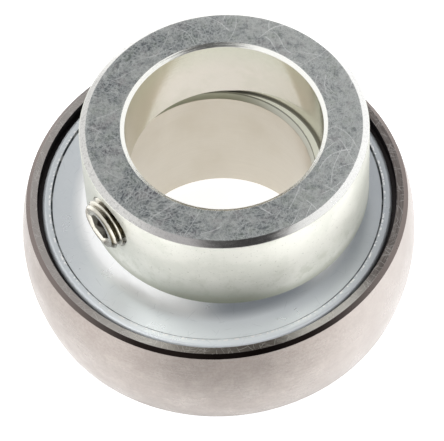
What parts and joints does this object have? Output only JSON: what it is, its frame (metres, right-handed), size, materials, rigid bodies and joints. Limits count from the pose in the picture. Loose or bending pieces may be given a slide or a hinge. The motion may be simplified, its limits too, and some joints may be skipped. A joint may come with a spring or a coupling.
{
  "type": "insert bearing",
  "caption": "Radial insert ball bearing with a spherical outer ring, sheet-metal seals, a caged row of balls and an eccentric locking collar with a set screw.",
  "frame": {"origin": "centre of the outer ring's sphere, on the axis of the inner ring's bore", "axes": "+Z along the bore's axis towards the locking collar; the part rests on its flat side at z = -9 mm"},
  "size_m": [0.062, 0.062, 0.0357],
  "materials": {
    "ring_steel": "ground, satin",
    "inner_ring_steel": "ground, satin",
    "collar_zinc": "zinc plated",
    "screw_steel": "plated",
    "ball_steel": "polished",
    "cage_polyamide": "moulded",
    "seal_zinc": "zinc plated sheet",
    "seal_rubber": "matte"
  },
  "bodies": {
    "outer_ring": {"outer_ring": "ring_steel", "upper_seal_outer_washer": "seal_zinc", "upper_seal_lip": "seal_rubber", "upper_seal_inner_washer": "seal_zinc", "lower_seal_outer_washer": "seal_zinc", "lower_seal_lip": "seal_rubber", "lower_seal_inner_washer": "seal_zinc"},
    "inner_ring": {"inner_ring": "inner_ring_steel"},
    "locking_collar": {"locking_collar": "collar_zinc"},
    "set_screw": {"set_screw": "screw_steel"},
    "ball_cage": {"ball_cage": "cage_polyamide"},
    "ball_1": {"ball_1": "ball_steel"},
    "ball_2": {"ball_2": "ball_steel"},
    "ball_3": {"ball_3": "ball_steel"},
    "ball_4": {"ball_4": "ball_steel"},
    "ball_5": {"ball_5": "ball_steel"},
    "ball_6": {"ball_6": "ball_steel"},
    "ball_7": {"ball_7": "ball_steel"},
    "ball_8": {"ball_8": "ball_steel"},
    "ball_9": {"ball_9": "ball_steel"}
  },
  "joints": [
    {"name": "inner_ring_spin", "type": "hinge", "parent": "outer_ring", "child": "inner_ring", "pos_m": [0, 0, 0], "axis": [0, 0, 1], "continuous": true},
    {"name": "collar_turn", "type": "hinge", "parent": "inner_ring", "child": "locking_collar", "pos_m": [0.00082, 0.00048, 0.013], "axis": [0, 0, 1], "continuous": true},
    {"name": "screw_travel", "type": "slide", "parent": "locking_collar", "child": "set_screw", "axis": [-0.8339, -0.5519, 0], "range_m": [-0.0006, 0.006]},
    {"name": "cage_spin", "type": "hinge", "parent": "outer_ring", "child": "ball_cage", "pos_m": [0, 0, 0], "axis": [0, 0, 1], "continuous": true},
    {"name": "ball_1_spin", "type": "hinge", "parent": "ball_cage", "child": "ball_1", "pos_m": [0.023, 0, 0], "axis": [0, 0, 1], "continuous": true},
    {"name": "ball_2_spin", "type": "hinge", "parent": "ball_cage", "child": "ball_2", "pos_m": [0.01762, 0.01478, 0], "axis": [0, 0, 1], "continuous": true},
    {"name": "ball_3_spin", "type": "hinge", "parent": "ball_cage", "child": "ball_3", "pos_m": [0.00399, 0.02265, 0], "axis": [0, 0, 1], "continuous": true},
    {"name": "ball_4_spin", "type": "hinge", "parent": "ball_cage", "child": "ball_4", "pos_m": [-0.0115, 0.01992, 0], "axis": [0, 0, 1], "continuous": true},
    {"name": "ball_5_spin", "type": "hinge", "parent": "ball_cage", "child": "ball_5", "pos_m": [-0.02161, 0.00787, 0], "axis": [0, 0, 1], "continuous": true},
    {"name": "ball_6_spin", "type": "hinge", "parent": "ball_cage", "child": "ball_6", "pos_m": [-0.02161, -0.00787, 0], "axis": [0, 0, 1], "continuous": true},
    {"name": "ball_7_spin", "type": "hinge", "parent": "ball_cage", "child": "ball_7", "pos_m": [-0.0115, -0.01992, 0], "axis": [0, 0, 1], "continuous": true},
    {"name": "ball_8_spin", "type": "hinge", "parent": "ball_cage", "child": "ball_8", "pos_m": [0.00399, -0.02265, 0], "axis": [0, 0, 1], "continuous": true},
    {"name": "ball_9_spin", "type": "hinge", "parent": "ball_cage", "child": "ball_9", "pos_m": [0.01762, -0.01478, 0], "axis": [0, 0, 1], "continuous": true}
  ],
  "couplings": [
    {"joint": "cage_spin", "follows": "inner_ring_spin", "ratio": 0.39647},
    {"joint": "ball_1_spin", "follows": "inner_ring_spin", "ratio": -2.3112},
    {"joint": "ball_2_spin", "follows": "inner_ring_spin", "ratio": -2.3112},
    {"joint": "ball_3_spin", "follows": "inner_ring_spin", "ratio": -2.3112},
    {"joint": "ball_4_spin", "follows": "inner_ring_spin", "ratio": -2.3112},
    {"joint": "ball_5_spin", "follows": "inner_ring_spin", "ratio": -2.3112},
    {"joint": "ball_6_spin", "follows": "inner_ring_spin", "ratio": -2.3112},
    {"joint": "ball_7_spin", "follows": "inner_ring_spin", "ratio": -2.3112},
    {"joint": "ball_8_spin", "follows": "inner_ring_spin", "ratio": -2.3112},
    {"joint": "ball_9_spin", "follows": "inner_ring_spin", "ratio": -2.3112}
  ]
}
